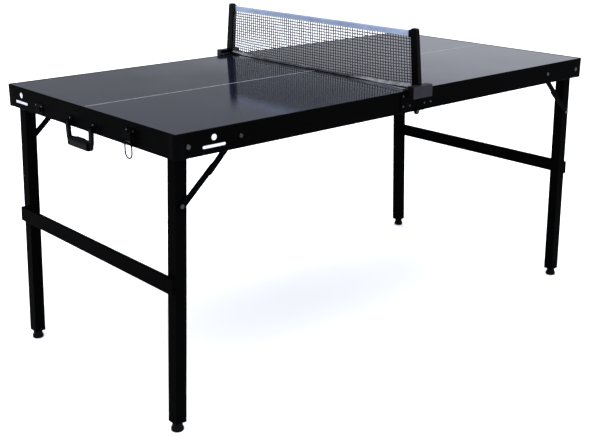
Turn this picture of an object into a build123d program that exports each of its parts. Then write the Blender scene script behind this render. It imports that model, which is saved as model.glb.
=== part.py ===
from build123d import *
from math import atan2, cos, degrees, hypot, radians, sin, sqrt
import os

# Compact folding table tennis table. Two equal halves meet at a hinge line under the net.
# Millimetres. X runs along the table, Y across it, Z is up. The origin is on the floor, under the centre.
# Half A lies on the -X side. Half B is half A turned 180 degrees about Z.

# ---- table top ----
table_length = 1500.0
table_width = 756.0
table_height = 712.0
frame_depth = 56.0
rail_width = 14.0
rail_wall = 1.8
lip_width = 4.5
panel_thickness = 12.0
panel_drop = 0.6          # panel face lies this far under the lip
panel_gap = 0.3           # all round the panel, inside the lip
seam_gap = 1.0            # between the two halves
edge_break = 1.2
corner_size = 24.0
corner_radius = 10.0
plug_length = 5.0
plug_gap = 0.2

# ---- legs ----
leg_side = 30.0
leg_wall = 1.5
leg_splay = 2.3           # degrees outward from plumb
leg_fold = 90.0 + leg_splay
leg_end_gap = 4.5         # end rail's inner face to the plumb leg
leg_top_gap = 2.4         # panel's underside to the leg's round top
leg_bolt_radius = 4.0
running_gap = 0.05        # radial, on every pin that turns
bolt_head_radius = 6.0
bolt_head_height = 2.2
nut_radius = 6.5
nut_height = 5.0
spacer_radius = 7.0
face_gap = 0.3            # between flat faces that slide past each other

# ---- crossbar ----
crossbar_height = 38.0
crossbar_depth = 10.0
crossbar_wall = 1.2
crossbar_drop = 320.0     # its middle, along the leg from the pivot

# ---- levelling feet ----
ferrule_height = 22.0
ferrule_flange = 3.0
stud_radius = 4.0
stud_gap = 0.05
foot_radius = 15.0
foot_height = 7.5         # the pad's disc
foot_neck_radius = 12.0
foot_exposed = 14.5       # neck between the disc and the ferrule
foot_neck_gap = 0.9
foot_travel = 12.0

# ---- folding stays ----
stay_width = 15.0
stay_thickness = 3.0
stay_leg_distance = 136.0  # pivot on the leg, from the leg's own pivot
stay_rail_x = 142.5        # pivot on the rail, from the leg's pivot, along X
stay_rail_rise = 2.0
stay_overlap = 14.0        # lower strip runs on past the elbow
stay_rail_gap = 3.0        # rail's inner face to the upper strip
stay_layer_gap = 0.4
stay_leg_gap = 2.6         # lower strip to the leg's outer face
rivet_radius = 3.0
rivet_head_radius = 5.0
rivet_head_height = 1.0
elbow_head_height = 2.0

# ---- centre hinge ----
hinge_leaf_length = 60.0
hinge_leaf_top = 8.0       # below the lip
hinge_leaf_thickness = 2.5
hinge_ear_radius = 8.0
hinge_pin_radius = 2.5
hinge_layer_gap = 0.3
screw_radius = 3.0
screw_head_height = 1.4
screw_rows = (10.0, 37.0)  # below the lip
screw_columns = (28.0, 52.0)      # from the seam

# ---- carry handle ----
handle_width = 116.0
handle_arm = 10.5
handle_thickness = 9.0
handle_grip_thickness = 20.0
handle_drop = 54.0         # pivot to underside
handle_grip_height = 26.0
handle_stand_off = 8.5     # its mid plane outside the end rail
handle_pivot_rise = 11.0   # above the frame's bottom edge
handle_pin_radius = 2.5
bracket_thickness = 2.0
bracket_lug = 3.0

# ---- draw latch ----
latch_offset = 208.0       # from the centre line
latch_width = 38.0
latch_height = 36.0
latch_plate = 1.5
latch_rise = 4.5           # plate's lower edge above the frame's bottom edge
latch_pin_radius = 1.5
latch_pin_out = 7.0        # lever pin outside the end rail
lever_thickness = 1.5
lever_length = 31.0
lever_notch = 11.0         # plate starts this far above the pin, so the bail hangs free
bail_width = 31.0
bail_length = 41.0         # pivot to the loop's lowest point
bail_wire = 1.8            # radius
bail_pin_up = 6.0          # bail's pivot above the lever's pin
catch_height = 26.0
trim_rivet_radius = 2.5
trim_rivet_height = 1.2

# ---- net set ----
post_lean = 12.5           # top leans in by this much
post_thickness = 12.0
post_foot_width = 23.0
post_top_width = 20.0
post_foot_in = 12.0        # inner face at the foot, behind the long side
post_height = 153.0        # above the lip
clamp_length = 72.0
clamp_out = 22.0
clamp_in = 16.0
clamp_drop = 18.0          # outer box reaches below the lip
clamp_rise = 13.0          # outer box stands above the lip
clamp_wall = 2.5
clamp_plate = 3.0          # over the rail and the panel's edge
net_thickness = 1.2
net_bottom = 3.8           # above the lip
tape_height = 16.0
tape_thickness = 3.2
tape_top = 147.5           # above the lip
lug_out = 6.0
lug_height = 18.0
net_lift_gap = 0.4
net_far_out = 11.0         # far clamp and post sit out from the mirrored place by this

# ---- worked-out places ----
half_length = table_length / 2
half_width = table_width / 2
top_z = table_height
bottom_z = table_height - frame_depth
shelf_z = top_z - panel_drop - panel_thickness
end_x = -half_length
seam_x = -seam_gap / 2
near_y = -half_width
rail_in_y = near_y + rail_width
leg_out_y = (rail_in_y + stay_rail_gap + 2 * stay_thickness + stay_layer_gap
             + stay_leg_gap)
leg_in_y = leg_out_y + leg_side
pivot_x = end_x + rail_width + leg_end_gap + leg_side / 2
pivot_z = shelf_z - leg_top_gap - leg_side / 2
leg_length = pivot_z / cos(radians(leg_splay))

os.makedirs("parts", exist_ok=True)


def box(x0, x1, y0, y1, z0, z1):
    return Pos((x0 + x1) / 2, (y0 + y1) / 2, (z0 + z1) / 2) * Box(x1 - x0, y1 - y0, z1 - z0)


def prism(points, direction, length):
    """Extrudes a closed flat outline, given as 3-D points, along a direction."""
    outline = make_face(Polyline(*points, close=True))
    return extrude(outline, amount=length, dir=direction)


def cyl_x(x0, x1, y, z, radius):
    return Pos((x0 + x1) / 2, y, z) * Rot(0, 90, 0) * Cylinder(radius, x1 - x0)


def cyl_y(x, y0, y1, z, radius):
    return Pos(x, (y0 + y1) / 2, z) * Rot(90, 0, 0) * Cylinder(radius, y1 - y0)


def dome_y(x, y, z, radius, height):
    """Low rounded head on a face at y, standing out towards -Y."""
    head = cyl_y(x, y - height, y, z, radius)
    rim = head.edges().filter_by(GeomType.CIRCLE).group_by(Axis.Y)[0]
    return fillet(rim, height * 0.8)


def dome_x(x, y, z, radius, height):
    """The same head on a face at x, standing out towards -X."""
    return Pos(x, y, z) * Rot(0, 0, -90) * dome_y(0, 0, 0, radius, height)


def strip(start, end, y0, y1, width, run_on=0.0):
    """Flat bar in the XZ plane with round ends, from one pivot to past another."""
    length = hypot(end[0] - start[0], end[1] - start[1]) + run_on
    angle = degrees(atan2(end[1] - start[1], end[0] - start[0]))
    bar = Box(length, y1 - y0, width, align=(Align.MIN, Align.MIN, Align.CENTER))
    for x in (0, length):
        bar += cyl_y(x, 0, y1 - y0, 0, width / 2)
    return Pos(start[0], y0, start[1]) * Rot(0, -angle, 0) * bar


def far(shape):
    return mirror(shape, about=Plane.XZ)


def pair(shape):
    return Compound(children=[shape, far(shape)])


half_nodes = {}


def keep(name, shape):
    half_nodes[name] = shape


# ---- rails: one hollow section with a shelf for the panel and a lip round it ----
def rail_section(outer, inward, along):
    """Section outline and its hollow. outer is the outer face, inward +1 or -1, along 'x' or 'y'."""
    shelf = shelf_z - bottom_z
    solid = [(edge_break, 0), (rail_width, 0), (rail_width, shelf), (lip_width, shelf),
             (lip_width, frame_depth), (edge_break, frame_depth), (0, frame_depth - edge_break),
             (0, edge_break)]
    hollow = [(rail_wall, rail_wall), (rail_width - rail_wall, rail_wall),
              (rail_width - rail_wall, shelf - rail_wall), (rail_wall, shelf - rail_wall)]

    def place(points, at):
        if along == "x":
            return [(at, outer + inward * u, bottom_z + z) for u, z in points]
        return [(outer + inward * u, at, bottom_z + z) for u, z in points]
    return solid, hollow, place


def rail(outer, inward, along, start, end):
    solid, hollow, place = rail_section(outer, inward, along)
    direction = (1, 0, 0) if along == "x" else (0, 1, 0)
    body = prism(place(solid, start), direction, end - start)
    return body - prism(place(hollow, start - 1), direction, end - start + 2)


side_start = end_x + corner_size
end_reach = half_width - corner_size
stay_rail = (pivot_x + stay_rail_x, pivot_z + stay_rail_rise)

side_rail = rail(near_y, 1, "x", side_start, seam_x)
side_rail -= cyl_y(pivot_x, near_y - 1, rail_in_y + 1, pivot_z, leg_bolt_radius)
side_rail -= cyl_y(stay_rail[0], near_y - 1, rail_in_y + 1, stay_rail[1], rivet_radius)
keep("side_rail_near", side_rail)
keep("side_rail_far", far(side_rail))
keep("end_rail", rail(end_x, 1, "y", -end_reach, end_reach))
keep("centre_rail", rail(seam_x, -1, "y", near_y + rail_width, half_width - rail_width))


# ---- corner caps: rounded outside, stepped for the panel, plugged into both rails ----
def corner_cap():
    x1, y1 = end_x + corner_size, near_y + corner_size
    blank = box(end_x, x1, near_y, y1, bottom_z, top_z)
    blank -= box(end_x + rail_width, x1 + 1, rail_in_y, y1 + 1, bottom_z - 1, top_z + 1)
    blank -= box(end_x + lip_width, x1 + 1, near_y + lip_width, y1 + 1, shelf_z, top_z + 1)
    upright = blank.edges().filter_by(Axis.Z).sort_by(lambda e: e.center().X + e.center().Y)[0]
    blank = fillet(upright, corner_radius)
    plug_low = bottom_z + rail_wall + plug_gap
    plug_high = shelf_z - rail_wall - plug_gap
    u0, u1 = rail_wall + plug_gap, rail_width - rail_wall - plug_gap
    blank += box(x1 - 1, x1 + plug_length, near_y + u0, near_y + u1, plug_low, plug_high)
    blank += box(end_x + u0, end_x + u1, y1 - 1, y1 + plug_length, plug_low, plug_high)
    bore = cyl_y(pivot_x, near_y - 1, rail_in_y + 1, pivot_z, leg_bolt_radius + plug_gap)
    return blank - bore


keep("corner_caps", pair(corner_cap()))

panel_in = lip_width + panel_gap
panel = box(end_x + panel_in, seam_x - panel_in, near_y + panel_in, half_width - panel_in,
            shelf_z, shelf_z + panel_thickness)
panel_corners = panel.edges().filter_by(Axis.Z).group_by(Axis.X)[0]
keep("playing_panel", fillet(panel_corners, corner_radius / 2))

# ---- leg pair, drawn plumb about its pivot and then splayed ----
splayed = Pos(pivot_x, 0, pivot_z) * Rot(0, leg_splay, 0)
leg_end = -(leg_length - foot_height - foot_exposed - ferrule_flange)
half_leg = leg_side / 2
leg_mid_y = (leg_out_y + leg_in_y) / 2

leg = box(-half_leg, half_leg, leg_out_y, leg_in_y, leg_end, 0)
leg += cyl_y(0, leg_out_y, leg_in_y, 0, half_leg)
inner = half_leg - leg_wall
leg -= box(-inner, inner, leg_out_y + leg_wall, leg_in_y - leg_wall, leg_end - 1, 0)
leg -= cyl_y(0, leg_out_y + leg_wall, leg_in_y - leg_wall, 0, inner)
leg -= cyl_y(0, leg_out_y - 1, leg_in_y + 1, 0, leg_bolt_radius + running_gap)
leg -= cyl_y(0, leg_out_y - 1, leg_out_y + leg_wall + 1, -stay_leg_distance, rivet_radius)
keep("leg_near", splayed * leg)
keep("leg_far", far(splayed * leg))

bar_out = -half_leg - crossbar_depth
crossbar = box(bar_out, -half_leg, leg_out_y, -leg_out_y,
               -crossbar_drop - crossbar_height / 2, -crossbar_drop + crossbar_height / 2)
crossbar -= box(bar_out + crossbar_wall, -half_leg - crossbar_wall,
                leg_out_y + crossbar_wall, -leg_out_y - crossbar_wall,
                -crossbar_drop - crossbar_height / 2 + crossbar_wall,
                -crossbar_drop + crossbar_height / 2 - crossbar_wall)
crossbar = fillet(crossbar.edges().filter_by(Axis.Y).group_by(Axis.X)[0], edge_break)
keep("leg_crossbar", splayed * crossbar)

ferrule = box(-inner, inner, leg_out_y + leg_wall, leg_in_y - leg_wall,
              leg_end, leg_end + ferrule_height)
ferrule += box(-half_leg, half_leg, leg_out_y, leg_in_y, leg_end - ferrule_flange, leg_end)
ferrule -= Pos(0, leg_mid_y, leg_end) * Cylinder(stud_radius + stud_gap, 3 * ferrule_height)
keep("leg_ferrules", pair(splayed * ferrule))



# ---- folding stays, in two layers between the rail and the leg ----
upper_y0 = rail_in_y + stay_rail_gap
upper_y1 = upper_y0 + stay_thickness
lower_y0 = upper_y1 + stay_layer_gap
lower_y1 = lower_y0 + stay_thickness


def on_leg(distance, folded):
    lean = radians(leg_splay - folded)
    return (pivot_x - distance * sin(lean), pivot_z - distance * cos(lean))


stay_leg = on_leg(stay_leg_distance, 0)
stay_leg_folded = on_leg(stay_leg_distance, leg_fold)
open_span = hypot(stay_rail[0] - stay_leg[0], stay_rail[1] - stay_leg[1])
shut_span = hypot(stay_rail[0] - stay_leg_folded[0], stay_rail[1] - stay_leg_folded[1])
over_centre = 0.05
lower_arm = (open_span - shut_span + over_centre) / 2
upper_arm = lower_arm + shut_span


def elbow(foot, side):
    """Where the two arms meet, on one side of the line from the leg's pivot to the rail's."""
    dx, dz = stay_rail[0] - foot[0], stay_rail[1] - foot[1]
    span = hypot(dx, dz)
    along = (lower_arm ** 2 - upper_arm ** 2 + span ** 2) / (2 * span)
    off = side * sqrt(max(0.0, lower_arm ** 2 - along ** 2))
    return (foot[0] + (dx * along - dz * off) / span, foot[1] + (dz * along + dx * off) / span)


elbow_open = elbow(stay_leg, -1)
elbow_shut = elbow(stay_leg_folded, 1)

upper_stay = strip(stay_rail, elbow_open, upper_y0, upper_y1, stay_width)
upper_stay -= cyl_y(stay_rail[0], upper_y0 - 1, upper_y1 + 1, stay_rail[1],
                    rivet_radius + running_gap)
upper_stay -= cyl_y(stay_rail[0], upper_y1 - rivet_head_height - running_gap, upper_y1 + 1,
                    stay_rail[1], rivet_head_radius + running_gap)
upper_stay += dome_y(elbow_open[0], upper_y0, elbow_open[1], rivet_head_radius, elbow_head_height)
keep("upper_stays", pair(upper_stay))

lower_stay = strip(stay_leg, elbow_open, lower_y0, lower_y1, stay_width, stay_overlap)
lower_stay -= cyl_y(stay_leg[0], lower_y0 - 1, lower_y1 + 1, stay_leg[1],
                    rivet_radius + running_gap)
lower_stay -= cyl_y(stay_leg[0], lower_y0 - 1, lower_y0 + rivet_head_height + running_gap,
                    stay_leg[1], rivet_head_radius + running_gap)
lower_stay += cyl_y(elbow_open[0], lower_y1, lower_y1 + elbow_head_height, elbow_open[1],
                    rivet_head_radius)
keep("lower_stays", pair(lower_stay))

# ---- pivot hardware ----
leg_bolt = cyl_y(pivot_x, near_y, leg_in_y + nut_height, pivot_z, leg_bolt_radius)
leg_bolt += dome_y(pivot_x, near_y, pivot_z, bolt_head_radius, bolt_head_height)
leg_bolt += cyl_y(pivot_x, leg_in_y + face_gap, leg_in_y + nut_height, pivot_z, nut_radius)
keep("leg_bolts", pair(leg_bolt))

spacer = cyl_y(pivot_x, rail_in_y, leg_out_y - face_gap, pivot_z, spacer_radius)
spacer -= cyl_y(pivot_x, rail_in_y - 1, leg_out_y, pivot_z, leg_bolt_radius)
keep("pivot_spacers", pair(spacer))

rail_rivet = cyl_y(stay_rail[0], near_y, upper_y1, stay_rail[1], rivet_radius)
rail_rivet += dome_y(stay_rail[0], near_y, stay_rail[1], rivet_head_radius, elbow_head_height)
rail_rivet += cyl_y(stay_rail[0], rail_in_y, upper_y0 - running_gap, stay_rail[1],
                    rivet_head_radius)
rail_rivet += cyl_y(stay_rail[0], upper_y1 - rivet_head_height, upper_y1, stay_rail[1],
                    rivet_head_radius)
keep("stay_rail_rivets", pair(rail_rivet))

leg_rivet = cyl_y(stay_leg[0], lower_y0, leg_out_y + leg_wall, stay_leg[1], rivet_radius)
leg_rivet += cyl_y(stay_leg[0], lower_y1 + running_gap, leg_out_y, stay_leg[1],
                   rivet_head_radius)
leg_rivet += cyl_y(stay_leg[0], lower_y0, lower_y0 + rivet_head_height, stay_leg[1],
                   rivet_head_radius)
leg_rivet += cyl_y(stay_leg[0], leg_out_y + leg_wall, leg_out_y + leg_wall + elbow_head_height,
                   stay_leg[1], rivet_head_radius)
keep("stay_leg_rivets", pair(leg_rivet))


# ---- levelling foot: a flat moulded pad, upright, on a stud that follows the leg ----
def levelling_foot():
    base = on_leg(leg_length, 0)
    rise = foot_height + foot_exposed
    profile = [(0, 0), (foot_radius - 1.5, 0), (foot_radius, 1.5), (foot_radius, foot_height - 1),
               (foot_radius - 0.6, foot_height), (foot_neck_radius + 0.8, foot_height + 4),
               (foot_neck_radius, foot_height + 8), (foot_neck_radius, rise - foot_neck_gap),
               (0, rise - foot_neck_gap)]
    outline = make_face(Polyline(*[(r, 0, z) for r, z in profile], close=True))
    pad = Pos(base[0], leg_mid_y, 0) * revolve(outline, Axis.Z)
    stud_top = leg_end + 3 * ferrule_height / 2 - foot_travel
    stud = Pos(0, leg_mid_y, (stud_top - leg_length + foot_height) / 2) * Cylinder(
        stud_radius, stud_top + leg_length - foot_height)
    return pad + splayed * stud


foot = levelling_foot()
keep("foot_near", foot)
keep("foot_far", far(foot))


# ---- centre hinge: leaf A's ear lies inside leaf B's, both turn on a pin at the bottom edge ----
leaf_y1 = near_y
leaf_y0 = near_y - hinge_leaf_thickness
ear_y1 = leaf_y0 - hinge_layer_gap
ear_y0 = ear_y1 - hinge_leaf_thickness
leaf_top = top_z - hinge_leaf_top
leaf_bottom = bottom_z + edge_break


def leaf_plate():
    plate = box(-hinge_leaf_length, seam_x, leaf_y0, leaf_y1, leaf_bottom, leaf_top)
    corners = plate.edges().filter_by(Axis.Y).group_by(Axis.X)[0]
    return fillet(corners, 4.0)


# The pin is pressed into leaf A and leaf B turns on it.
pin_hole = cyl_y(0, ear_y0 - 1, leaf_y0 - hinge_layer_gap / 2, bottom_z,
                 hinge_pin_radius + running_gap)
leaf_a = leaf_plate() + cyl_y(0, leaf_y0, leaf_y1, bottom_z, hinge_ear_radius)
leaf_a -= cyl_y(0, leaf_y0 - 1, leaf_y1 + 1, bottom_z, hinge_pin_radius)
leaf_b = leaf_plate() - cyl_y(0, leaf_y0 - 1, leaf_y1 + 1, bottom_z,
                              hinge_ear_radius + hinge_layer_gap)
# Leaf B's ear lies one layer further out and is folded back onto its leaf.
fold_x0, fold_x1 = -3.4 * hinge_ear_radius, -1.7 * hinge_ear_radius
ear_plate = cyl_y(0, ear_y0, ear_y1, bottom_z, hinge_ear_radius)
ear_plate += box(fold_x0, 0, ear_y0, ear_y1, leaf_bottom, bottom_z + 0.75 * hinge_ear_radius)
ear_plate += box(fold_x0, fold_x1, ear_y0, leaf_y0 + 1, leaf_bottom + 1,
                 bottom_z + 0.75 * hinge_ear_radius)
leaf_b = leaf_b + ear_plate - pin_hole

hinge_pin = cyl_y(0, ear_y0, leaf_y1, bottom_z, hinge_pin_radius)
hinge_pin += dome_y(0, ear_y0 - running_gap, bottom_z, hinge_pin_radius + 2.5, 2.0)
hinge_pin += cyl_y(0, ear_y0 - running_gap, ear_y0, bottom_z, hinge_pin_radius)


# ---- carry handle, its bracket, and the fasteners on the end rail ----
handle_x = end_x - handle_stand_off
handle_z = bottom_z + handle_pivot_rise
arm_mid = (handle_width - handle_arm) / 2


def carry_handle():
    half = handle_width / 2
    top = handle_z
    low = handle_z - handle_drop
    outline = [(-half + 2, top), (half - 2, top), (half, top - 4), (half - 2, low + 20),
               (half - 8, low + 8), (half - 22, low), (-half + 22, low), (-half + 8, low + 8),
               (-half + 2, low + 20), (-half, top - 4)]
    blank = prism([(handle_x - handle_thickness / 2, y, z) for y, z in outline], (1, 0, 0),
                  handle_thickness)
    gap = half - handle_arm
    roof = low + handle_grip_height
    window = [(-gap, top + 1), (-gap, top - 8), (-gap + 2, roof - 4), (-gap * 0.6, roof - 2),
              (-gap * 0.3, roof), (gap * 0.3, roof), (gap * 0.6, roof - 2), (gap - 2, roof - 4),
              (gap, top - 8), (gap, top + 1)]
    blank -= prism([(handle_x - 20, y, z) for y, z in window], (1, 0, 0), 40)
    grip = box(handle_x - handle_grip_thickness / 2, handle_x + handle_grip_thickness / 2,
               -gap + 4, gap - 4, low + 1, roof - 3)
    grip = fillet(grip.edges().filter_by(Axis.Y), 6.0)
    blank += grip
    for side in (-1, 1):
        y0, y1 = side * gap, side * (half - 2)
        blank += cyl_y(handle_x, min(y0, y1), max(y0, y1), handle_z, handle_thickness / 2)
    return blank - cyl_y(handle_x, -half - 1, half + 1, handle_z, handle_pin_radius + running_gap)


keep("carry_handle", carry_handle())

# The bracket is a plate on the end rail with a pair of lugs beside each arm of the handle.
plate_x0 = end_x - bracket_thickness
lug_reach = handle_x - 5.0
lug_y = [arm_mid - handle_arm / 2 - face_gap - bracket_lug, arm_mid + handle_arm / 2 + face_gap]
bracket_parts = []
for side in (-1, 1):
    y_in = side * lug_y[0]
    y_out = side * (lug_y[1] + bracket_lug)
    y0, y1 = min(y_in, y_out), max(y_in, y_out)
    part = box(plate_x0, end_x, y0, y1, handle_z - 8, handle_z + 14)
    for inner_face in lug_y:
        a, b = side * inner_face, side * (inner_face + bracket_lug)
        part += box(lug_reach, end_x - bracket_thickness / 2, min(a, b), max(a, b),
                    handle_z - 5, handle_z + 5)
    part += cyl_y(handle_x, y0 - 1.5, y1 + 1.5, handle_z, handle_pin_radius)
    bracket_parts.append(part)
keep("handle_brackets", Compound(children=bracket_parts))


# ---- draw latch at -Y on the end rail, catch plate at +Y ----
latch_y = -latch_offset
latch_low = bottom_z + latch_rise
pin_x = end_x - latch_pin_out
pin_z = latch_low + 3.0
cheek = 1.5
latch_half = latch_width / 2
lever_half = latch_half - cheek - face_gap
bail_z = pin_z + bail_pin_up

base = box(end_x - latch_plate, end_x, latch_y - latch_half, latch_y + latch_half,
           latch_low, latch_low + latch_height)
for side in (-1, 1):
    y0 = latch_y + side * (latch_half - cheek / 2) - cheek / 2
    base += box(pin_x - 3, end_x - latch_plate / 2, y0, y0 + cheek, latch_low, latch_low + 8)
    y_tip = latch_y + side * (lever_half - cheek)
    y_head = latch_y + side * (latch_half + 1)
    base += cyl_y(pin_x, min(y_tip, y_head), max(y_tip, y_head), pin_z, latch_pin_radius)
keep("latch_base", base)

lever_x1 = pin_x - 3.2
lever_x0 = lever_x1 - lever_thickness
lever = box(lever_x0, lever_x1, latch_y - lever_half, latch_y + lever_half,
            pin_z + lever_notch, pin_z + lever_length)
lever = fillet(lever.edges().filter_by(Axis.X).group_by(Axis.Z)[-1], 5.0)
lever += box(lever_x0 - 3.0, lever_x0, latch_y - 7, latch_y + 7,
             pin_z + lever_length - 2.0, pin_z + lever_length)
for side in (-1, 1):
    y0 = latch_y + side * (lever_half - cheek / 2) - cheek / 2
    web = box(lever_x0, pin_x + 3, y0, y0 + cheek, pin_z - 3, bail_z + 8)
    web -= cyl_y(pin_x, y0 - 1, y0 + cheek + 1, pin_z, latch_pin_radius + running_gap)
    web -= cyl_y(pin_x, y0 - 1, y0 + cheek + 1, bail_z, bail_wire + running_gap)
    lever += web
keep("latch_lever", lever)

bail_half = bail_width / 2 - bail_wire
turn_z = bail_z - bail_length + bail_wire + bail_half
bail = Pos(pin_x, latch_y, turn_z) * Rot(0, 90, 0) * Torus(bail_half, bail_wire)
bail -= box(pin_x - 5, pin_x + 5, latch_y - bail_width, latch_y + bail_width, turn_z, bail_z)
for side in (-1, 1):
    y = latch_y + side * bail_half
    bail += Pos(pin_x, y, (turn_z + bail_z) / 2) * Cylinder(bail_wire, bail_z - turn_z)
    bail += Pos(pin_x, y, bail_z) * Sphere(bail_wire)
bail += cyl_y(pin_x, latch_y - lever_half, latch_y + lever_half, bail_z, bail_wire)
keep("latch_bail", bail)

# The catch is a plate with a folded lip that the other half's bail pulls on.
catch_top = latch_low + catch_height
catch = box(end_x - latch_plate, end_x, latch_offset - latch_half, latch_offset + latch_half,
            latch_low, catch_top)
lip_z = latch_low + 8
catch += box(end_x - 7, end_x - latch_plate / 2, latch_offset - 12, latch_offset + 12,
             lip_z, lip_z + 2)
catch += box(end_x - 7, end_x - 5, latch_offset - 12, latch_offset + 12, lip_z, lip_z + 6)
keep("catch_plate", catch)

# ---- fasteners that stay with the half: hinge screws, bracket, latch and catch rivets ----
fasteners = []
for x in screw_columns:
    for z in screw_rows:
        screw = dome_y(-x, leaf_y0, top_z - z, screw_radius, screw_head_height)
        fasteners += [screw, far(screw)]
for y in (latch_y - latch_half + 6, latch_y + latch_half - 6):
    fasteners.append(dome_x(end_x - latch_plate, y, latch_low + latch_height - 4,
                            trim_rivet_radius, trim_rivet_height))
for y in (latch_offset - latch_half + 5, latch_offset + latch_half - 5):
    fasteners.append(dome_x(end_x - latch_plate, y, catch_top - 5,
                            trim_rivet_radius, trim_rivet_height))
for side in (-1, 1):
    fasteners.append(dome_x(plate_x0, side * arm_mid, handle_z + 10.5,
                            trim_rivet_radius, trim_rivet_height))
keep("frame_fasteners", Compound(children=fasteners))

# ---- write half A, then half B as the same pieces turned about Z ----
half_turn = Rot(0, 0, 180)
swap = {"near": "far", "far": "near"}


def turned_name(name):
    words = name.split("_")
    return "_".join(swap.get(word, word) for word in words)


for name, shape in half_nodes.items():
    export_step(shape, f"parts/{name}_a.step")
    export_step(half_turn * shape, f"parts/{turned_name(name)}_b.step")

export_step(pair(leaf_a), "parts/hinge_leaves_a.step")
export_step(half_turn * pair(leaf_b), "parts/hinge_leaves_b.step")
export_step(pair(hinge_pin), "parts/hinge_pins.step")


# ---- net set: two clamps that hook over the side rails, leaning posts, net and tape ----
foot_in = near_y + post_foot_in
clamp_plate_z = top_z + net_lift_gap
post_z0 = clamp_plate_z + clamp_plate
post_z1 = top_z + post_height
clamp_top = top_z + clamp_rise


def side_clamp():
    """Plate over the rail, solid block above it and an open-backed skirt outside the hinge."""
    out = near_y - clamp_out
    low = top_z - clamp_drop
    half = clamp_length / 2
    body = box(-half, half, out, near_y + clamp_in, clamp_plate_z, post_z0)
    body += box(-half, half, out, near_y - 1, clamp_plate_z, clamp_top)
    skirt_in = leaf_y0 - screw_head_height - 2 * face_gap
    skirt = box(-half, half, out, skirt_in, low, clamp_plate_z + 1)
    skirt -= box(-half + clamp_wall, half - clamp_wall, out + clamp_wall, skirt_in + 1,
                 low - 1, clamp_plate_z)
    body += skirt
    outer_corners = body.edges().filter_by(Axis.Z).group_by(Axis.Y)[0]
    body = fillet(outer_corners, 1.5)
    seat = box(-post_thickness / 2, post_thickness / 2, foot_in - post_foot_width,
               foot_in, post_z0, clamp_top + 1)
    return body - seat


def net_post():
    outline = [(foot_in, post_z0), (foot_in - post_foot_width, post_z0),
               (foot_in - post_foot_width, clamp_top),
               (foot_in + post_lean - post_top_width, post_z1 - 2),
               (foot_in + post_lean - post_top_width + 3, post_z1),
               (foot_in + post_lean - 4, post_z1), (foot_in + post_lean, post_z1 - 4)]
    post = prism([(-post_thickness / 2, y, z) for y, z in outline], (1, 0, 0), post_thickness)
    lug_z = top_z + tape_top - lug_height + 1
    return post + box(-post_thickness / 2, post_thickness / 2, foot_in + post_lean - 5,
                      foot_in + post_lean + lug_out, lug_z, lug_z + lug_height)


far_place = Pos(0, net_far_out, 0) * half_turn
clamp = side_clamp()
post = net_post()
export_step(clamp, "parts/net_clamp_near.step")
export_step(far_place * clamp, "parts/net_clamp_far.step")
export_step(post, "parts/net_post_near.step")
export_step(far_place * post, "parts/net_post_far.step")


def post_face(z):
    """Y of the near post's inner face at a height."""
    return foot_in + post_lean * (z - post_z0) / (post_z1 - 4 - post_z0)


tape_z1 = top_z + tape_top
tape_z0 = tape_z1 - tape_height
tape_end = foot_in + post_lean + lug_out
net_z0 = top_z + net_bottom
lug_low = tape_z1 - lug_height + 1
net_outline = [(post_face(net_z0) + face_gap, net_z0), (post_face(lug_low - 1) + face_gap, lug_low - 1),
               (tape_end, lug_low - 1), (tape_end, tape_z0)]
net_outline += [(net_far_out - y, z) for y, z in reversed(net_outline)]
net = prism([(-net_thickness / 2, y, z) for y, z in net_outline], (1, 0, 0), net_thickness)
export_step(net, "parts/net_mesh.step")
tape = box(-tape_thickness / 2, tape_thickness / 2, tape_end, net_far_out - tape_end, tape_z0, tape_z1)
export_step(tape, "parts/net_tape.step")
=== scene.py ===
import bpy
import bmesh
import math
from mathutils import Matrix, Vector, noise


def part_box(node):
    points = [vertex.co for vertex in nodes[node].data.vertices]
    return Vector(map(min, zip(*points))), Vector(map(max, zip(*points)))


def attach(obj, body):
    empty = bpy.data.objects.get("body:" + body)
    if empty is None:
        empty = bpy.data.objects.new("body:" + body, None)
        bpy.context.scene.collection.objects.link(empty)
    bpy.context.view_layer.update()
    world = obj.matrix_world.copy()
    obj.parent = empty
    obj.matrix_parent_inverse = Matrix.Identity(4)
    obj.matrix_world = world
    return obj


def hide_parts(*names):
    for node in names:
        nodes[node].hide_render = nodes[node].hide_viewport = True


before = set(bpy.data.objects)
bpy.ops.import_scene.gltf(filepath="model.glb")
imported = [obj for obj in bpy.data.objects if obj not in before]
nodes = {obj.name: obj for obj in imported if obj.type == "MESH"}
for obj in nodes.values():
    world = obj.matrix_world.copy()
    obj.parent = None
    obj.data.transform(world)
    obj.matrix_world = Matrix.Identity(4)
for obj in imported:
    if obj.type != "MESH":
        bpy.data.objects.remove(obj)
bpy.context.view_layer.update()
print("stage: packed table loaded,", len(nodes), "nodes")

mm = 0.001


def toLinear(hexColour):
    # sRGB hex to the linear colour a shader wants
    channels = [int(hexColour[i:i + 2], 16) / 255 for i in (1, 3, 5)]
    return tuple(c / 12.92 if c <= 0.04045 else ((c + 0.055) / 1.055) ** 2.4 for c in channels) + (1.0,)


def addNode(tree, kind, settings=None, links=None):
    # adds one node; settings go to its own properties or sockets, links feed its sockets
    node = tree.nodes.new(kind)
    for key, value in (settings or {}).items():
        if isinstance(key, str) and hasattr(node, key):
            setattr(node, key, value)
        else:
            node.inputs[key].default_value = value
    for key, source in (links or {}).items():
        tree.links.new(source, node.inputs[key])
    return node


def setRamp(node, stops):
    ramp = node.color_ramp
    while len(ramp.elements) < len(stops):
        ramp.elements.new(0.5)
    for element, (place, colour) in zip(ramp.elements, stops):
        element.position = place
        element.color = toLinear(colour) if isinstance(colour, str) else (colour, colour, colour, 1)


def newMaterial(name):
    material = bpy.data.materials.new(name)
    material.use_nodes = True
    tree = material.node_tree
    tree.nodes.clear()
    return material, tree


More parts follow.
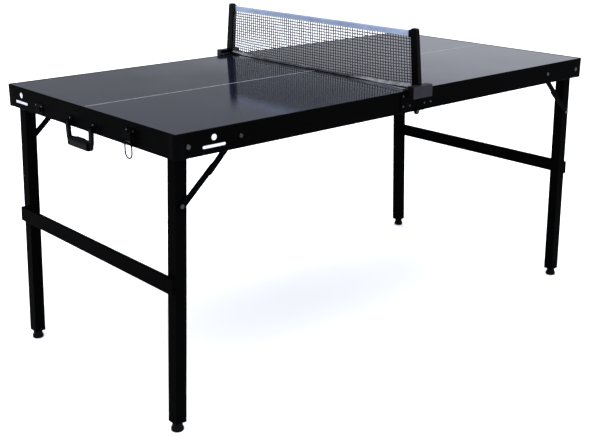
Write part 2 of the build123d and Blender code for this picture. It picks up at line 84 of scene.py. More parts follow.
def finishMaterial(tree, look, colour, roughness, normal):
    # look holds the constants, which stay on the shader's own sockets
    shader = addNode(tree, "ShaderNodeBsdfPrincipled", look,
                     {"Base Color": colour, "Roughness": roughness, "Normal": normal})
    addNode(tree, "ShaderNodeOutputMaterial", None, {"Surface": shader.outputs["BSDF"]})


# ---- coated metals and mouldings of the frame ----
# grain: size of the surface's texture in mm; relief: its height in mm; wear: how far scuffs lighten it
finishes = {
    # powder coat on extruded aluminium: deep even black, faint orange peel, soft broad highlights
    "powderCoatedAluminium": {"dark": "#020202", "light": "#060607", "grain": 1.6, "relief": 0.012,
                              "rough": (0.42, 0.54), "ior": 1.48, "specular": 0.004, "metallic": 0.0},
    # stoved powder coat on drawn steel tube: a little glossier, the peel drawn out along the tube
    "powderCoatedSteelTube": {"dark": "#020202", "light": "#050506", "grain": 1.9, "relief": 0.014,
                              "rough": (0.34, 0.46), "ior": 1.50, "specular": 0.002, "metallic": 0.0},
    # injection-moulded nylon corner: fine spark-eroded grain, duller than the rails
    "mouldedNylonCorner": {"dark": "#020202", "light": "#070708", "grain": 0.7, "relief": 0.020,
                           "rough": (0.46, 0.58), "ior": 1.53, "specular": 0.006, "metallic": 0.0},
    # electro-coated pressed steel: thin coat, sharper highlights, rubbed edges
    "electrocoatedSheetSteel": {"dark": "#020202", "light": "#070708", "grain": 1.1, "relief": 0.006,
                                "rough": (0.28, 0.42), "ior": 1.50, "specular": 0.004, "metallic": 0.0},
    # black oxide rivets and screws: small bright glints where the coat is thin
    "blackOxideSteel": {"dark": "#26272a", "light": "#5c5e63", "grain": 0.5, "relief": 0.004,
                        "rough": (0.16, 0.28), "ior": 1.50, "specular": 0.50, "metallic": 1.0},
    # polyamide washer: matt, slightly waxy
    "mouldedNylonSpacer": {"dark": "#0a0a0b", "light": "#101012", "grain": 0.6, "relief": 0.010,
                           "rough": (0.45, 0.55), "ior": 1.53, "specular": 0.06, "metallic": 0.0},
    # hard-drawn wire, blackened: streaks along the wire
    "blackenedSpringWire": {"dark": "#030304", "light": "#0a0a0b", "grain": 0.8, "relief": 0.004,
                            "rough": (0.25, 0.38), "ior": 1.50, "specular": 0.06, "metallic": 0.0},
    # polypropylene handle: pebbled grip
    "mouldedPolypropyleneGrip": {"dark": "#020203", "light": "#08080a", "grain": 2.2, "relief": 0.090,
                                 "rough": (0.44, 0.58), "ior": 1.49, "specular": 0.03, "metallic": 0.0},
    # vulcanised rubber foot: dull, dusty low down
    "mouldedRubberFoot": {"dark": "#050505", "light": "#0c0c0d", "grain": 1.3, "relief": 0.030,
                          "rough": (0.62, 0.78), "ior": 1.52, "specular": 0.04, "metallic": 0.0},
    # ABS clamp: dark slate, fine even grain that takes a soft sheen; the black of its ends and inner parts is
    # painted shade
    "mouldedAbsClamp": {"dark": "#101115", "light": "#17181d", "grain": 0.8, "relief": 0.016,
                        "rough": (0.40, 0.52), "ior": 1.54, "specular": 0.10, "metallic": 0.0,
                        # sides is painted shade, the black put on the clamp's end faces and inner parts; the
                        # slate shows as lit only beyond this many mm from the middle
                        "sides": "#020203", "litSlateFrom": 379.0},
    # ABS post: black, satin, faint flow marks
    "mouldedAbsPost": {"dark": "#020203", "light": "#06060a", "grain": 0.9, "relief": 0.012,
                       "rough": (0.32, 0.42), "ior": 1.54, "specular": 0.03, "metallic": 0.0},
}


def makeFinish(name, f):
    material, tree = newMaterial(name)
    place = addNode(tree, "ShaderNodeTexCoord").outputs["Object"]
    # the grain itself is too fine to see across a room, so a coarser cloud goes with it
    fine = addNode(tree, "ShaderNodeTexNoise",
                   {"Scale": 1 / (f["grain"] * mm), "Detail": 3.0, "Roughness": 0.55}, {"Vector": place})
    cloud = addNode(tree, "ShaderNodeTexNoise", {"Scale": 1 / (90 * mm), "Detail": 4.0, "Roughness": 0.6},
                    {"Vector": place})
    scuff = addNode(tree, "ShaderNodeTexNoise", {"Scale": 1 / (14 * mm), "Detail": 6.0, "Roughness": 0.75,
                                                 "Distortion": 1.2}, {"Vector": place})
    rub = addNode(tree, "ShaderNodeMapRange",
                  {"From Min": 0.56, "From Max": 0.78, "To Min": 0.0, "To Max": 0.55},
                  {"Value": scuff.outputs["Fac"]})
    mixed = addNode(tree, "ShaderNodeMath", {"operation": "MULTIPLY_ADD", 1: 0.5},
                    {0: cloud.outputs["Fac"], 2: rub.outputs["Result"]})
    colour = addNode(tree, "ShaderNodeValToRGB", None, {"Fac": mixed.outputs["Value"]})
    setRamp(colour, [(0.15, f["dark"]), (0.95, f["light"])])
    paint = colour.outputs["Color"]
    if "sides" in f:
        # painted light and shade: slate on the outer box's outside and top, the faces that catch the light,
        # and painted black shade on its ends and on everything further in
        facing = addNode(tree, "ShaderNodeSeparateXYZ", None,
                         {0: addNode(tree, "ShaderNodeNewGeometry").outputs["True Normal"]})
        here = addNode(tree, "ShaderNodeSeparateXYZ", None, {0: place})
        away = addNode(tree, "ShaderNodeMath", {"operation": "MULTIPLY"},
                       {0: facing.outputs["Y"], 1: here.outputs["Y"]})
        lightFacing = addNode(tree, "ShaderNodeMath", {"operation": "MULTIPLY_ADD", 1: 2.6},
                        {0: away.outputs["Value"], 2: facing.outputs["Z"]})
        outer = addNode(tree, "ShaderNodeMath", {"operation": "ABSOLUTE"}, {0: here.outputs["Y"]})
        beyond = addNode(tree, "ShaderNodeMath", {"operation": "GREATER_THAN", 1: f["litSlateFrom"] * mm},
                         {0: outer.outputs["Value"]})
        slate = addNode(tree, "ShaderNodeMapRange", {"From Min": 0.45, "From Max": 0.75},
                        {"Value": lightFacing.outputs["Value"]})
        # 1 where the lit slate shows, 0 where the painted black shade goes
        litSlateMask = addNode(tree, "ShaderNodeMath", {"operation": "MULTIPLY"},
                       {0: slate.outputs["Result"], 1: beyond.outputs["Value"]})
        paint = addNode(tree, "ShaderNodeMix", {"data_type": "RGBA", 6: toLinear(f["sides"])},
                        {0: litSlateMask.outputs["Value"], 7: paint}).outputs[2]
    roughness = addNode(tree, "ShaderNodeMapRange", {"From Min": 0.3, "From Max": 0.7,
                                                     "To Min": f["rough"][0], "To Max": f["rough"][1]},
                        {"Value": cloud.outputs["Fac"]})
    bump = addNode(tree, "ShaderNodeBump", {"Strength": 0.6, "Distance": f["relief"] * mm},
                   {"Height": fine.outputs["Fac"]})
    finishMaterial(tree, {"IOR": f["ior"], "Specular IOR Level": f["specular"], "Metallic": f["metallic"]},
                   paint, roughness.outputs["Result"], bump.outputs["Normal"])
    return material


made = {name: makeFinish(name, f) for name, f in finishes.items()}


# ---- playing board ----
board = {
    "face": "#0b0e18", "faceLight": "#0e121d",   # near-black slate paint; the lacquer's mirror gives the grey
    "rollPitch": 26.0,                           # mm between the roller's faint lanes
    "peel": 9.0, "peelHeight": 0.004,            # mm, levelled lacquer; drawn wider than its 2 mm to show
    "rough": (0.08, 0.13), "ior": 1.50,
}


def makeBoard():
    # roller-coated fibreboard under a satin-gloss lacquer: near mirror at a low angle, soft straight on
    material, tree = newMaterial("rollerCoatedFibreboard")
    place = addNode(tree, "ShaderNodeTexCoord").outputs["Object"]
    lanes = addNode(tree, "ShaderNodeTexWave", {"wave_type": "BANDS", "bands_direction": "Y",
                                                "Scale": 1 / (board["rollPitch"] * mm * 2), "Distortion": 1.5,
                                                "Detail": 2.0, "Detail Scale": 0.4}, {"Vector": place})
    cloud = addNode(tree, "ShaderNodeTexNoise", {"Scale": 1 / (160 * mm), "Detail": 5.0, "Roughness": 0.55},
                    {"Vector": place})
    peel = addNode(tree, "ShaderNodeTexNoise", {"Scale": 1 / (board["peel"] * mm), "Detail": 2.0},
                   {"Vector": place})
    tone = addNode(tree, "ShaderNodeMath", {"operation": "MULTIPLY_ADD", 1: 0.25},
                   {0: lanes.outputs["Fac"], 2: cloud.outputs["Fac"]})
    colour = addNode(tree, "ShaderNodeValToRGB", None, {"Fac": tone.outputs["Value"]})
    setRamp(colour, [(0.3, board["face"]), (0.95, board["faceLight"])])
    roughness = addNode(tree, "ShaderNodeMapRange",
                        {"From Min": 0.3, "From Max": 0.75,
                         "To Min": board["rough"][0], "To Max": board["rough"][1]},
                        {"Value": cloud.outputs["Fac"]})
    bump = addNode(tree, "ShaderNodeBump", {"Strength": 0.4, "Distance": board["peelHeight"] * mm},
                   {"Height": peel.outputs["Fac"]})
    finishMaterial(tree, {"IOR": board["ior"], "Specular IOR Level": 0.5}, colour.outputs["Color"],
                   roughness.outputs["Result"], bump.outputs["Normal"])
    return material


made["rollerCoatedFibreboard"] = makeBoard()

finishOf = {
    "side_rail": "powderCoatedAluminium", "end_rail": "powderCoatedAluminium",
    "centre_rail": "powderCoatedAluminium", "corner_caps": "mouldedNylonCorner",
    "playing_panel": "rollerCoatedFibreboard", "leg_near": "powderCoatedSteelTube",
    "leg_far": "powderCoatedSteelTube", "leg_crossbar": "powderCoatedSteelTube",
    "leg_ferrules": "mouldedNylonCorner", "upper_stays": "electrocoatedSheetSteel",
    "lower_stays": "electrocoatedSheetSteel", "leg_bolts": "blackOxideSteel",
    "pivot_spacers": "mouldedNylonSpacer", "stay_rail_rivets": "blackOxideSteel",
    "stay_leg_rivets": "blackOxideSteel", "foot_near": "mouldedRubberFoot", "foot_far": "mouldedRubberFoot",
    "carry_handle": "mouldedPolypropyleneGrip", "handle_brackets": "electrocoatedSheetSteel",
    "latch_base": "electrocoatedSheetSteel", "latch_lever": "electrocoatedSheetSteel",
    "latch_bail": "blackenedSpringWire", "catch_plate": "electrocoatedSheetSteel",
    "frame_fasteners": "blackOxideSteel", "hinge_leaves": "electrocoatedSheetSteel",
    "hinge_pins": "blackOxideSteel", "net_clamp": "mouldedAbsClamp", "net_post": "mouldedAbsPost",
}
for name, node in nodes.items():
    for start, finish in finishOf.items():
        if name.startswith(start):
            node.data.materials.clear()
            node.data.materials.append(made[finish])
print("stage: frame finishes on", sum(1 for n in nodes.values() if n.data.materials), "nodes")


def newPiece(name, mesh, material, body):
    piece = bpy.data.objects.new(name, mesh)
    bpy.context.scene.collection.objects.link(piece)
    mesh.materials.append(material)
    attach(piece, body)
    return piece


def smooth(mesh):
    for face in mesh.polygons:
        face.use_smooth = True


# ---- painted centre lines ----
centreLine = {"width": 2.6, "film": 0.06, "colour": "#7b8089", "worn": "#62666f", "endInset": 5.0}


def makeLinePaint():
    # screen-printed ink: a thin off-white film, matt against the lacquer and a little patchy
    material, tree = newMaterial("screenPrintedInk")
    place = addNode(tree, "ShaderNodeTexCoord").outputs["Object"]
    patch = addNode(tree, "ShaderNodeTexNoise", {"Scale": 1 / (6 * mm), "Detail": 5.0, "Roughness": 0.7},
                    {"Vector": place})
    colour = addNode(tree, "ShaderNodeValToRGB", None, {"Fac": patch.outputs["Fac"]})
    setRamp(colour, [(0.30, centreLine["worn"]), (0.52, centreLine["colour"])])
    roughness = addNode(tree, "ShaderNodeMapRange", {"To Min": 0.38, "To Max": 0.55},
                        {"Value": patch.outputs["Fac"]})
    bump = addNode(tree, "ShaderNodeBump", {"Strength": 0.4, "Distance": 0.01 * mm},
                   {"Height": patch.outputs["Fac"]})
    finishMaterial(tree, {"IOR": 1.50}, colour.outputs["Color"], roughness.outputs["Result"],
                   bump.outputs["Normal"])
    return material


inkMaterial = made["screenPrintedInk"] = makeLinePaint()


def makeCentreLine(name, panelNode, body):
    low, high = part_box(panelNode)
    half, film = centreLine["width"] / 2 * mm, centreLine["film"] * mm
    bm = bmesh.new()
    steps = 60
    rows = []
    # the line stops short of the end of the table and runs right up to the middle joint
    inset = [0.4 * mm, centreLine["endInset"] * mm]
    outerFirst = abs(low.x) > abs(high.x)
    first, last = low.x + inset[outerFirst], high.x - inset[not outerFirst]
    for i in range(steps + 1):
        x = first + (last - first) * i / steps
        edge = half * (1 - 0.25 * (i in (0, steps))) + 0.05 * mm * noise.noise(Vector((x * 90, 3.1, 0)))
        top, skirt = high.z + film, high.z - 0.02 * mm
        rows.append([bm.verts.new(p) for p in ((x, -edge, skirt), (x, -edge + 0.1 * mm, top),
                                               (x, edge - 0.1 * mm, top), (x, edge, skirt))])
    for a, b in zip(rows, rows[1:]):
        for k in range(3):
            bm.faces.new((a[k], b[k], b[k + 1], a[k + 1]))
    for ends in (rows[0], rows[-1]):
        bm.faces.new(ends)
    bmesh.ops.recalc_face_normals(bm, faces=bm.faces)
    mesh = bpy.data.meshes.new(name)
    bm.to_mesh(mesh)
    bm.free()
    return newPiece(name, mesh, inkMaterial, body)


makeCentreLine("centreLineA", "playing_panel_a", "half_a")
makeCentreLine("centreLineB", "playing_panel_b", "half_b")
print("stage: centre lines")


# ---- plain printed marks on the rails: a ball over a bar ----
mark = {
    "ball": 7.0, "bar": (62.0, 6.5), "gap": 6.0,    # ball radius, bar size and the space between, mm
    "film": 0.05, "colour": "#bfc0c4", "worn": "#96989d",
}


def makeMarkInk():
    # pad-printed white ink: thin and even, a touch of the black showing through
    material, tree = newMaterial("padPrintedInk")
    place = addNode(tree, "ShaderNodeTexCoord").outputs["Object"]
    patch = addNode(tree, "ShaderNodeTexNoise", {"Scale": 1 / (2.5 * mm), "Detail": 4.0, "Roughness": 0.65},
                    {"Vector": place})
    colour = addNode(tree, "ShaderNodeValToRGB", None, {"Fac": patch.outputs["Fac"]})
    setRamp(colour, [(0.28, mark["worn"]), (0.45, mark["colour"])])
    roughness = addNode(tree, "ShaderNodeMapRange", {"To Min": 0.42, "To Max": 0.58},
                        {"Value": patch.outputs["Fac"]})
    bump = addNode(tree, "ShaderNodeBump", {"Strength": 0.3, "Distance": 0.01 * mm},
                   {"Height": patch.outputs["Fac"]})
    finishMaterial(tree, {"IOR": 1.50}, colour.outputs["Color"], roughness.outputs["Result"],
                   bump.outputs["Normal"])
    return material


markInk = makeMarkInk()


def makeMark(name, corner, across, out, body):
    # corner is the middle of the mark on the rail's face; across and out are unit directions
    across, out, up = Vector(across), Vector(out), Vector((0, 0, 1))
    middle = Vector(corner)
    barLong, barHigh = (v * mm for v in mark["bar"])
    ball, gap = mark["ball"] * mm, mark["gap"] * mm
    outlines = []
    ballAt = middle + up * (gap + ball * 0.5)
    turns = [k * math.tau / 40 for k in range(40)]
    outlines.append([ballAt + across * ball * math.cos(turn) + up * ball * math.sin(turn) for turn in turns])
    barAt = middle - up * (gap + barHigh / 2)
    ends = []
    for side in (1, -1):
        for k in range(13):
            turn = math.radians((-90 if side > 0 else 90) + 15 * k)
            ends.append(barAt + across * (side * (barLong - barHigh) / 2 + barHigh / 2 * math.cos(turn))
                        + up * barHigh / 2 * math.sin(turn))
    outlines.append(ends)
    bm = bmesh.new()
    for outline in outlines:
        tops = [bm.verts.new(p + out * mark["film"] * mm) for p in outline]
        bm.faces.new(tops)
        base = [bm.verts.new(p - out * 0.02 * mm) for p in outline]
        for k in range(len(outline)):
            n = (k + 1) % len(outline)
            bm.faces.new((tops[k], tops[n], base[n], base[k]))
    bmesh.ops.recalc_face_normals(bm, faces=bm.faces)
    mesh = bpy.data.meshes.new(name)
    bm.to_mesh(mesh)
    bm.free()
    return newPiece(name, mesh, markInk, body)


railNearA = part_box("side_rail_near_a")
makeMark("sideMarkA", (-0.648, railNearA[0].y, 0.683), (1, 0, 0), (0, -1, 0), "half_a")
makeMark("sideMarkB", (0.648, -railNearA[0].y, 0.683), (-1, 0, 0), (0, 1, 0), "half_b")
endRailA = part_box("end_rail_a")
makeMark("endMarkA", (endRailA[0].x, 0.302, 0.683), (0, -1, 0), (-1, 0, 0), "half_a")
makeMark("endMarkB", (-endRailA[0].x, -0.302, 0.683), (0, 1, 0), (1, 0, 0), "half_b")
print("stage: rail marks")


# ---- net ----
net = {
    "columnPitch": 9.5, "rowPitch": 7.7,     # mm, knot to knot
    "cord": 2.6, "knot": 1.6,               # cord diameter; knot radius
    "wander": 0.7,                           # how far knots stray from the grid
    "braid": 1.2,                            # from ridge to ridge of the cord's braid
    "hemHeight": 15.0, "hemThin": 0.42,      # hem at the near post; its share of that elsewhere
    "hemThick": 0.9, "hemGap": 0.9,          # thickness; height over the board mid-way
    "climb": 4.4, "climbEnd": 352.0,         # rise onto the clamps, done this far from the middle
    "lean": 12.5, "footOut": 366.0,          # a post's lean; its inner face at the foot from the middle
    "postBevel": 4.0,                        # height of the bevel at a post's head
    "cordDark": "#0b0c0f", "cordLight": "#1d1e24",
    "hemDark": "#2c2e33", "hemLight": "#84868c",
}
tape = {
    "fold": 2.1,             # radius over the top cord, mm
    "cloth": 0.45,
    "thread": 1.1,           # mm; real webbing is 0.5 mm, drawn coarser to show
    "light": "#98a5bf", "dark": "#7d8aa8",
}

postLow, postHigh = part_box("net_post_near")
tapeLow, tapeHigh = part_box("net_tape")
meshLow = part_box("net_mesh")[0]
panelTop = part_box("playing_panel_a")[1].z
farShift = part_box("net_post_far")[1].y + postLow.y    # the far post is fixed further out by this
postLean = net["lean"] * mm
footY = -net["footOut"] * mm
footZ, headZ = meshLow.z, postHigh.z - net["postBevel"] * mm


def postFace(z):
    # distance from the middle to a post's inner face at height z
    return abs(footY) - postLean * (z - footZ) / (headZ - footZ)


def acrossNet(u, inset):
    # u runs from -1 at the near post to 1 at the far one; inset comes off the half width
    return u * (abs(footY) + farShift / 2 - inset) + farShift / 2


def hemZ(y):
    # the lower edge lies on the board mid-way and climbs onto the clamps
    far = abs(y - farShift / 2) / (net["climbEnd"] * mm)
    climb = max(0.0, (far - 0.72) / 0.28) ** 1.3
    return panelTop + (net["hemGap"] + net["climb"] * climb) * mm


def netPoint(column, row, columns, rows):
    t = row / rows
    zTop = tapeLow.z + 1.5 * mm
    u = column / columns * 2 - 1
    y = acrossNet(u, abs(footY) - postFace(meshLow.z + (zTop - meshLow.z) * t) + 0.5 * mm)
    zLow = hemZ(y) + net["hemHeight"] * net["hemThin"] * 0.5 * mm
    z = zLow + (zTop - zLow) * t
    seed = Vector((column * 0.73, row * 0.91, 4.2))
    free = min(1.0, min(column, columns - column) / 2) * min(1.0, min(row, rows - row) / 1.5)
    z -= 1.6 * mm * math.sin(math.pi * t) * (0.5 + 0.5 * noise.noise(Vector((y * 9, 1.7, 0)))) * free
    y += net["wander"] * mm * noise.noise(seed) * free
    z += net["wander"] * mm * noise.noise(seed + Vector((9.1, 0, 0))) * free
    x = 0.55 * mm * noise.noise(Vector((y * 12, z * 14, 7.7))) * free
    return Vector((x, y, z))


def addTube(verts, faces, points, radius, sides=6):
    start = len(verts)
    for i, p in enumerate(points):
        ahead = (points[min(i + 1, len(points) - 1)] - points[max(i - 1, 0)]).normalized()
        side = ahead.cross(Vector((1, 0, 0))).normalized()
        other = ahead.cross(side)
        for k in range(sides):
            turn = k * math.tau / sides
            verts.append(p + (side * math.cos(turn) + other * math.sin(turn)) * radius)
    for i in range(len(points) - 1):
        a = start + i * sides
        for k in range(sides):
            n = (k + 1) % sides
            faces.append((a + k, a + n, a + sides + n, a + sides + k))
    faces.append(tuple(range(start + sides - 1, start - 1, -1)))
    faces.append(tuple(range(len(verts) - sides, len(verts))))


def addKnot(verts, faces, p, radius):
    # a flattened eight-sided lump, tighter than the loose bight it stands for
    start = len(verts)
    for way in ((1, 0, 0), (0, 1, 0), (-1, 0, 0), (0, -1, 0), (0, 0, 1), (0, 0, -1)):
        verts.append(p + Vector(way) * radius)
    for k in range(4):
        faces.append((start + k, start + (k + 1) % 4, start + 4))
        faces.append((start + (k + 1) % 4, start + k, start + 5))


def makeCordMaterial():
    # braided polyester cord, dyed black: dull, fuzzy edge light, ridges of the braid
    material, tree = newMaterial("braidedPolyesterCord")
    place = addNode(tree, "ShaderNodeTexCoord").outputs["Object"]
    braid = addNode(tree, "ShaderNodeTexWave",
                    {"wave_type": "BANDS", "bands_direction": "DIAGONAL",
                     "Scale": 1 / (net["braid"] * mm * 2), "Distortion": 2.0}, {"Vector": place})
    cloud = addNode(tree, "ShaderNodeTexNoise", {"Scale": 1 / (22 * mm), "Detail": 3.0}, {"Vector": place})
    tone = addNode(tree, "ShaderNodeMath", {"operation": "MULTIPLY_ADD", 1: 0.4},
                   {0: braid.outputs["Fac"], 2: cloud.outputs["Fac"]})
    colour = addNode(tree, "ShaderNodeValToRGB", None, {"Fac": tone.outputs["Value"]})
    setRamp(colour, [(0.35, net["cordDark"]), (0.95, net["cordLight"])])
    roughness = addNode(tree, "ShaderNodeMapRange", {"To Min": 0.62, "To Max": 0.82},
                        {"Value": braid.outputs["Fac"]})
    bump = addNode(tree, "ShaderNodeBump", {"Strength": 0.6, "Distance": 0.12 * mm},
                   {"Height": braid.outputs["Fac"]})
    finishMaterial(tree, {"IOR": 1.5, "Specular IOR Level": 0.3, "Sheen Weight": 0.15,
                          "Sheen Roughness": 0.5},
                   colour.outputs["Color"], roughness.outputs["Result"], bump.outputs["Normal"])
    return material


def makeWebbing(name, thread, dark, light, sheen):
    # plain-woven webbing: raised warp and weft that cross at right angles, with a soft nap at the edge
    material, tree = newMaterial(name)
    place = addNode(tree, "ShaderNodeTexCoord").outputs["Object"]
    warp, weft = [addNode(tree, "ShaderNodeTexWave",
                          {"wave_type": "BANDS", "bands_direction": way,
                           "Scale": 1 / (thread * mm * 2), "Distortion": 0.4}, {"Vector": place})
                  for way in ("Y", "Z")]
    weave = addNode(tree, "ShaderNodeMath", {"operation": "MULTIPLY"},
                    {0: warp.outputs["Fac"], 1: weft.outputs["Fac"]})
    cloud = addNode(tree, "ShaderNodeTexNoise", {"Scale": 1 / (35 * mm), "Detail": 4.0}, {"Vector": place})
    tone = addNode(tree, "ShaderNodeMath", {"operation": "MULTIPLY_ADD", 1: 0.45},
                   {0: weave.outputs["Value"], 2: cloud.outputs["Fac"]})
    colour = addNode(tree, "ShaderNodeValToRGB", None, {"Fac": tone.outputs["Value"]})
    setRamp(colour, [(0.35, dark), (0.85, light)])
    roughness = addNode(tree, "ShaderNodeMapRange", {"To Min": 0.60, "To Max": 0.80},
                        {"Value": weave.outputs["Value"]})
    bump = addNode(tree, "ShaderNodeBump", {"Strength": 0.7, "Distance": 0.15 * mm},
                   {"Height": weave.outputs["Value"]})
    finishMaterial(tree, {"IOR": 1.5, "Specular IOR Level": 0.35, "Sheen Weight": sheen,
                          "Sheen Roughness": 0.4},
                   colour.outputs["Color"], roughness.outputs["Result"], bump.outputs["Normal"])
    return material


cordMaterial = makeCordMaterial()
hemMaterial = makeWebbing("wovenPolyesterHem", 1.0, net["hemDark"], net["hemLight"], 0.25)
tapeMaterial = makeWebbing("wovenPolyesterTape", tape["thread"], tape["dark"], tape["light"], 0.2)


def makeNet():
    columns = round((2 * abs(footY) + farShift) / (net["columnPitch"] * mm))
    rows = round((tapeLow.z - meshLow.z) / (net["rowPitch"] * mm))
    grid = [[netPoint(c, r, columns, rows) for r in range(rows + 1)] for c in range(columns + 1)]
    verts, faces = [], []
    radius = net["cord"] / 2 * mm
    for column in grid:
        addTube(verts, faces, column, radius)
    for r in range(rows + 1):
        line = []
        for c in range(columns):
            a, b = grid[c][r], grid[c + 1][r]
            sag = Vector((0, 0, -0.35 * mm * (1 + noise.noise(Vector((c * 1.3, r * 1.7, 0))))))
            line += [a, (a + b) / 2 + sag * min(1, r, rows - r)]
        addTube(verts, faces, line + [grid[columns][r]], radius)
    for column in grid[1:-1]:
        for p in column[1:-1]:
            addKnot(verts, faces, p, net["knot"] * mm)
    mesh = bpy.data.meshes.new("knottedNet")
    mesh.from_pydata(verts, [], faces)
    smooth(mesh)
    return newPiece("knottedNet", mesh, cordMaterial, "net_set")


def makeHem():
    # a doubled strip along the lower edge; it turns out flat towards the posts
    bm = bmesh.new()
    steps, across = 180, 12
    rings = []
    thick = net["hemThick"] * mm
    for i in range(steps + 1):
        u = i / steps * 2 - 1
        y = acrossNet(u, 3.0 * mm)
        near = max(0.0, (-u - 0.35) / 0.65)
        far = max(0.0, (u - 0.55) / 0.45)
        height = net["hemHeight"] * mm * (net["hemThin"] + (1 - net["hemThin"]) * near)
        turn = math.radians(64 * near ** 0.8 + 34 * far)
        turn += math.radians(9) * noise.noise(Vector((y * 16, 0.4, 2)))
        up = Vector((math.sin(turn), 0, math.cos(turn)))
        # the upper edge stays on the net, so the lower edge swings out towards -X
        head = Vector((0, y, hemZ(y) + height * math.cos(turn) + 0.6 * mm))
        ring = []
        for k in range(across + 1):
            w = k / across
            bow = 0.9 * mm * math.sin(math.pi * w) * noise.noise(Vector((y * 22, w, 5)))
            p = head - up * height * (1 - w)
            p.x += bow + (1.6 * mm * near) * math.exp(-((w - 0.52) / 0.11) ** 2)
            p.z = max(p.z, panelTop + 0.5 * mm)
            ring.append(p)
        out = Vector((-math.cos(turn), 0, math.sin(turn))) * thick / 2
        loop = [p + out for p in ring] + [p - out for p in reversed(ring)]
        for p in loop:
            p.z = max(p.z, panelTop + 0.25 * mm)
        rings.append([bm.verts.new(p) for p in loop])
    n = len(rings[0])
    for a, b in zip(rings, rings[1:]):
        for k in range(n):
            bm.faces.new((a[k], a[(k + 1) % n], b[(k + 1) % n], b[k]))
    bm.faces.new(rings[0])
    bm.faces.new(list(reversed(rings[-1])))
    bmesh.ops.recalc_face_normals(bm, faces=bm.faces)
    mesh = bpy.data.meshes.new("netHem")
    bm.to_mesh(mesh)
    bm.free()
    smooth(mesh)
    return newPiece("netHem", mesh, hemMaterial, "net_set")


def makeTape():
    # one strip folded over the top cord, sewn near its lower edges
    bm = bmesh.new()
    steps = 150
    rings = []
    for i in range(steps + 1):
        y = tapeLow.y + (tapeHigh.y - tapeLow.y) * i / steps
        ripple = 0.35 * mm * noise.noise(Vector((y * 18, 8.1, 0)))
        fold = tape["fold"] * mm - tape["cloth"] / 2 * mm
        crown = tapeHigh.z - 0.3 * mm - fold + 0.25 * mm * noise.noise(Vector((y * 10, 2.4, 0)))
        # the sides pull in at the seam, 3 mm above their lower edges
        profile = [(-fold * 0.62, tapeLow.z), (-fold * 0.70, tapeLow.z + 2 * mm),
                   (-fold * 0.52, tapeLow.z + 3 * mm), (-fold * 0.78, tapeLow.z + 5 * mm),
                   (-fold * 0.86, crown - 3 * mm)]
        profile += [(-fold * math.cos(a), crown + fold * math.sin(a)) for a in
                    [math.pi * k / 8 for k in range(9)]]
        profile += [(-x, z) for x, z in reversed(profile[:5])]
        rings.append([bm.verts.new((x + ripple * (1 - (z - tapeLow.z) / (tapeHigh.z - tapeLow.z)), y, z))
                      for x, z in profile])
    for a, b in zip(rings, rings[1:]):
        for k in range(len(a) - 1):
            bm.faces.new((a[k], a[k + 1], b[k + 1], b[k]))
    mesh = bpy.data.meshes.new("netTape")
    bm.to_mesh(mesh)
    bm.free()
    smooth(mesh)
    piece = newPiece("netTape", mesh, tapeMaterial, "net_set")
    cloth = piece.modifiers.new("cloth", "SOLIDIFY")
    cloth.thickness, cloth.offset = tape["cloth"] * mm, 0.0
    return piece


knottedNet = makeNet()
netHem = makeHem()
netTape = makeTape()
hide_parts("net_mesh")
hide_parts("net_tape")
print("stage: net, hem and tape")


# ---- floor, light and camera ----
studio = {
    "floorSize": 90.0, "floor": "#f4f4f4",
    "ceiling": 2.3, "wall": 0.31, "sweep": 0.83,   # radiance overhead, of the walls, of the pale sweep
    "sweepTop": 9.97, "sweepSoft": 0.012,          # height of the sweep's top edge in degrees, its blur
    "sweepTilt": 0.18, "sweepTurn": 47.0,          # slope of that edge, and where it slopes to in degrees
}


def makeFloor():
    size = studio["floorSize"] / 2
    bm = bmesh.new()
    bmesh.ops.create_grid(bm, x_segments=8, y_segments=8, size=size)
    mesh = bpy.data.meshes.new("studioFloor")
    bm.to_mesh(mesh)
    bm.free()
    floor = bpy.data.objects.new("studioFloor", mesh)
    bpy.context.scene.collection.objects.link(floor)
    material, tree = newMaterial("mattPaintedFloor")
    place = addNode(tree, "ShaderNodeTexCoord").outputs["Object"]
    cloud = addNode(tree, "ShaderNodeTexNoise", {"Scale": 0.8, "Detail": 3.0}, {"Vector": place})
    colour = addNode(tree, "ShaderNodeValToRGB", None, {"Fac": cloud.outputs["Fac"]})
    setRamp(colour, [(0.2, studio["floor"]), (0.8, "#f7f7f7")])
    roughness = addNode(tree, "ShaderNodeMapRange", {"To Min": 0.8, "To Max": 0.9},
                        {"Value": cloud.outputs["Fac"]})
    bump = addNode(tree, "ShaderNodeBump", {"Strength": 0.1, "Distance": 0.2 * mm},
                   {"Height": cloud.outputs["Fac"]})
    finishMaterial(tree, {"Specular IOR Level": 0.1}, colour.outputs["Color"], roughness.outputs["Result"],
                   bump.outputs["Normal"])
    mesh.materials.append(material)
    floor.location.z = -0.3 * mm


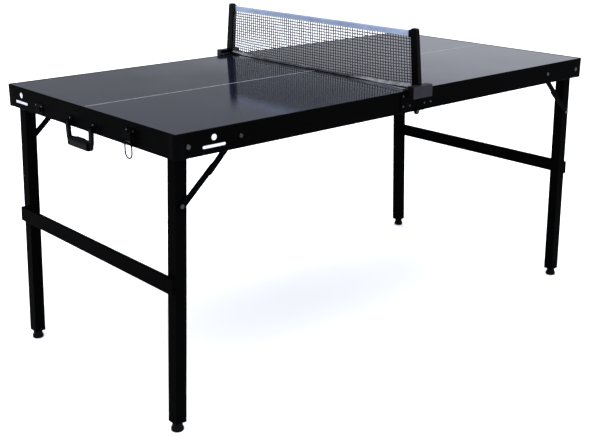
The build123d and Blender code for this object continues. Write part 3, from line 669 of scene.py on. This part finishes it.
def makeWorld():
    world = bpy.data.worlds.new("softStudio")
    bpy.context.scene.world = world
    world.use_nodes = True
    tree = world.node_tree
    tree.nodes.clear()
    turn = math.radians(studio["sweepTurn"])
    tilt = studio["sweepTilt"]
    way = addNode(tree, "ShaderNodeTexCoord").outputs["Generated"]
    top, soft = math.sin(math.radians(studio["sweepTop"])), studio["sweepSoft"]
    slope = (-tilt * math.sin(turn), tilt * math.cos(turn), 1.0)
    edge = addNode(tree, "ShaderNodeVectorMath", {"operation": "DOT_PRODUCT", 1: slope}, {0: way})
    step = addNode(tree, "ShaderNodeMapRange",
                   {"interpolation_type": "SMOOTHSTEP", "From Min": top - soft, "From Max": top + soft,
                    "To Min": studio["sweep"], "To Max": studio["wall"]},
                   {"Value": edge.outputs["Value"]})
    split = addNode(tree, "ShaderNodeSeparateXYZ", None, {0: way})
    roof = addNode(tree, "ShaderNodeMapRange",
                   {"interpolation_type": "SMOOTHSTEP", "From Min": 0.40, "From Max": 0.75,
                    "To Min": 0.0, "To Max": studio["ceiling"]},
                   {"Value": split.outputs["Z"]})
    total = addNode(tree, "ShaderNodeMath", {"operation": "ADD"},
                    {0: step.outputs["Result"], 1: roof.outputs["Result"]})
    light = addNode(tree, "ShaderNodeBackground", {"Color": toLinear("#f1f5ff")},
                    {"Strength": total.outputs["Value"]})
    addNode(tree, "ShaderNodeOutputWorld", None, {"Surface": light.outputs["Background"]})


def addSoftbox(name, place, aim, size, watts, mirrored):
    data = bpy.data.lights.new(name, "AREA")
    data.shape, data.size, data.size_y, data.energy = "RECTANGLE", size[0], size[1], watts
    lamp = bpy.data.objects.new(name, data)
    lamp.location = place
    lamp.rotation_mode = "QUATERNION"
    lamp.rotation_quaternion = (Vector(aim) - Vector(place)).to_track_quat("-Z", "Y")
    lamp.visible_camera, lamp.visible_glossy = False, mirrored
    bpy.context.scene.collection.objects.link(lamp)


def makeCamera():
    data = bpy.data.cameras.new("camera")
    data.sensor_width, data.lens = 36.0, 60.6
    data.clip_end = 120.0
    camera = bpy.data.objects.new("camera", data)
    camera.matrix_world = (Matrix.Translation((-1.89704, -2.03866, 1.20191))
                           @ Matrix.Rotation(math.radians(-41.716), 4, "Z")
                           @ Matrix.Rotation(math.radians(71.492), 4, "X")
                           @ Matrix.Rotation(math.radians(0.13), 4, "Z"))
    bpy.context.scene.collection.objects.link(camera)
    bpy.context.scene.camera = camera


makeFloor()
makeWorld()
addSoftbox("overheadSoftbox", (-0.6, -0.8, 3.4), (0, 0, 0.4), (3.2, 2.4), 80, True)
addSoftbox("frontSoftbox", (-2.4, -2.6, 1.6), (0, 0, 0.0), (3.0, 1.6), 40, False)
addSoftbox("backSoftbox", (1.8, 2.6, 2.8), (0, 0, 0.6), (2.4, 1.6), 50, False)
makeCamera()
bpy.context.scene.view_settings.view_transform = "Standard"
print("stage: floor, light and camera")
